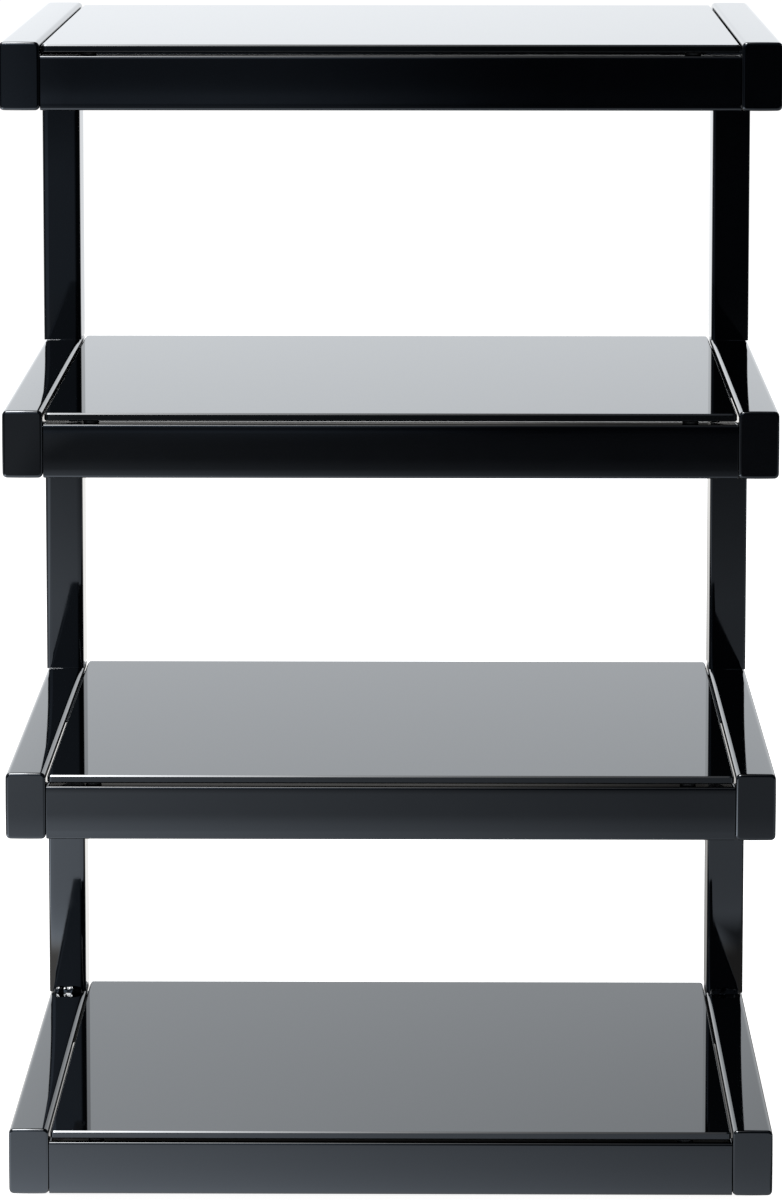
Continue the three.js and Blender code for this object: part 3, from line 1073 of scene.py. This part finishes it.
BOX_LEFT = (0.0, 1.0, -0.45, -0.22)
BOX_DEPTHS = ((0.0, 1.0, -0.42, -0.32), (1.0, 0.42, -0.17, -0.14), (1.0, 0.0, 0.0, 0.3))
BOX_LEVEL = (0.0, 1.0, 0.45, 0.6)
TURN_FADE = (0.0, 1.0, -0.35, 0.25)
FRONT_TINT = (0.78, 0.98, 1.28, 1.0)
LOW_TINT, HIGH_TINT, TINT_LEVEL = (0.975, 1.0, 1.03, 1.0), (0.93, 0.995, 1.06, 1.0), 0.3
DOME_LIGHT, BACKDROP_LIGHT = 0.6, 1.05


def lit_surroundings(settings):
    """Pale surroundings: white where the camera looks and an even dome for soft light.

    Reflections see more of the studio. Behind the rack is a bright wall that dims upwards and to
    the right. In front, below the level of the lens, it is dark, darker still to the right, and
    high up in front on the left hangs a large soft box.
    """
    world = bpy.data.worlds.new("studio_surround")
    finish = Finish(world)
    side, depth, level = split(finish, finish.node("TexCoord").outputs["Generated"])
    height = level * 0.5 + 0.5

    tilt = (level - WALL_LEAN_LEVEL).at_least(0.0).at_most(WALL_LEAN_SPAN)
    tilt = tilt * WALL_LEAN_GAIN + WALL_LEAN
    wall = 1.0 - side.at_least(-WALL_SIDE).at_most(WALL_SIDE) * tilt
    wall = wall * finish.ramp(height, WALL_STOPS) * finish.between(side, *WALL_FADE)

    front = finish.ramp(height, FRONT_STOPS)
    for fade in FRONT_FADES:
        front = front * finish.between(side, *fade)

    box = ((side + BOX_EDGE) * (-1 / BOX_FALL)).at_most(BOX_LIMIT).power_of_e()
    box = box * finish.between(side, *BOX_LEFT) * finish.between(level, *BOX_LEVEL)
    for fade in BOX_DEPTHS:
        box = box * finish.between(depth, *fade)
    box = box * settings.gleam

    turn = finish.between(depth, *TURN_FADE)
    seen = (front * (1.0 - turn) + wall * turn) * settings.surround + box
    cool = finish.blend(level.at_least(0.0) * (1 / TINT_LEVEL), LOW_TINT, HIGH_TINT)
    tint = finish.blend(turn, FRONT_TINT, cool)
    tint = finish.blend(box.at_most(1.0), tint, COOL)
    mirrored = finish.node("VectorMath", {"operation": "SCALE"}, {0: tint, "Scale": seen})

    path = finish.node("LightPath")
    mirror = finish.node("Background", None, {"Color": mirrored.outputs[0]})
    dome = finish.node("Background", None, {
        "Color": COOL, "Strength": DOME_LIGHT * settings.surround})
    plain = finish.node("Background", None, {
        "Color": (1.0, 1.0, 1.0, 1.0), "Strength": BACKDROP_LIGHT})
    lit = finish.node("MixShader", None, {
        0: path.outputs["Is Glossy Ray"], 1: dome.outputs[0], 2: mirror.outputs[0]})
    mix = finish.node("MixShader", None, {
        0: path.outputs["Is Camera Ray"], 1: lit.outputs[0], 2: plain.outputs[0]})
    finish.node("OutputWorld", None, {"Surface": mix.outputs[0]})
    bpy.context.scene.world = world


LIGHT_PLACE, LIGHT_AIM, LIGHT_SIZE = (-0.7, -0.9, 2.6), (0.0, 0.0, 0.4), 1.6


def soft_light(name, place, aim, size, power):
    """A square soft light at place, facing aim, that neither the camera nor a mirror sees."""
    data = bpy.data.lights.new(name, "AREA")
    data.size = size
    data.energy = power
    light = placed(name, data)
    aim = np.array(aim) - np.array(place)
    flat = math.hypot(aim[0], aim[1])
    light.location = place
    light.rotation_euler = (math.atan2(flat, -aim[2]), 0.0, math.atan2(-aim[0], aim[1]))
    light.visible_glossy = False
    light.visible_camera = False


FLOOR_MARGIN = 1.05
SENSOR_WIDTH = 36.0
VIEW_REACH = 100.0


def floor_sheet(name, reach, steps=48):
    """A flat square grid: x and y run from -reach to reach, and z is 0."""
    line = np.linspace(-reach, reach, steps + 1)
    x, y = np.meshgrid(line, line)
    points = np.stack([x, y, np.zeros_like(x)], axis=-1).reshape(-1, 3)
    j, i = np.meshgrid(np.arange(steps), np.arange(steps))
    first = i * (steps + 1) + j
    quads = np.stack([first, first + 1, first + steps + 2, first + steps + 1], axis=-1)
    mesh = bpy.data.meshes.new(name)
    mesh.from_pydata(points.tolist(), [], quads.reshape(-1, 4).tolist())
    mesh.update()
    return placed(name, mesh)


class RACK_OT_studio(Operator):
    """Makes the pale floor, the soft light, the surroundings and the camera"""

    bl_idname = "rack.studio"
    bl_label = "Studio"

    def execute(self, context):
        scene = context.scene
        settings = scene.rack_studio
        sheet = floor_sheet("studio_floor", settings.floor_end * FLOOR_MARGIN)
        sheet.data.materials.append(pale_floor(settings))
        soft_light(
            "overhead_light", LIGHT_PLACE, LIGHT_AIM, LIGHT_SIZE, settings.overhead_power)
        lit_surroundings(settings)
        camera = placed("camera", bpy.data.cameras.new("camera"))
        camera.location = settings.camera_place
        camera.rotation_euler = (
            math.pi / 2 - settings.camera_pitch, 0.0, settings.camera_yaw)
        camera.data.sensor_width = SENSOR_WIDTH
        camera.data.lens = settings.lens
        camera.data.shift_y = settings.rise
        camera.data.clip_end = VIEW_REACH
        scene.camera = camera
        scene.view_settings.view_transform = "Standard"
        scene.view_settings.look = "None"
        return {"FINISHED"}


class RACK_PT_rack(Panel):
    """Lists the rack's settings and its operators"""

    bl_idname = "RACK_PT_rack"
    bl_label = "Audio Rack"
    bl_space_type = "VIEW_3D"
    bl_region_type = "UI"
    bl_category = "Audio Rack"

    def draw(self, context):
        for group, _, title, operators in GROUPS:
            box = self.layout.box()
            box.label(text=title)
            settings = getattr(context.scene, group)
            for key in settings.bl_rna.properties.keys():
                if key not in {"rna_type", "name"}:
                    box.prop(settings, key)
            for operator in operators:
                box.operator(operator.bl_idname)


# Each group of settings: its name in the scene, its class, its title and its operators
GROUPS = (
    ("rack_steel", SteelSettings, "Painted steel", (
        RACK_OT_side_rails, RACK_OT_cross_rails, RACK_OT_posts)),
    ("rack_weld", WeldSettings, "Weld beads", (RACK_OT_welds,)),
    ("rack_glass", GlassSettings, "Glass shelves", (RACK_OT_glass,)),
    ("rack_pad", PadSettings, "Pads", (RACK_OT_pads,)),
    ("rack_foot", FootSettings, "Feet and studs", (RACK_OT_feet, RACK_OT_studs)),
    ("rack_studio", StudioSettings, "Studio", (RACK_OT_studio,)),
)
CLASSES = (
    *(kind for _, kind, _, _ in GROUPS),
    *(operator for _, _, _, operators in GROUPS for operator in operators),
    RACK_PT_rack,
)


def register():
    for kind in CLASSES:
        bpy.utils.register_class(kind)
    for name, kind, _, _ in GROUPS:
        setattr(bpy.types.Scene, name, PointerProperty(type=kind))


def unregister():
    for name, _, _, _ in GROUPS:
        delattr(bpy.types.Scene, name)
    for kind in reversed(CLASSES):
        bpy.utils.unregister_class(kind)


def main():
    register()
    bpy.ops.rack.side_rails()
    bpy.ops.rack.cross_rails()
    bpy.ops.rack.posts()
    bpy.ops.rack.welds()
    bpy.ops.rack.glass()
    bpy.ops.rack.pads()
    bpy.ops.rack.studs()
    bpy.ops.rack.feet()
    bpy.ops.rack.studio()


if __name__ == "__main__":
    main()
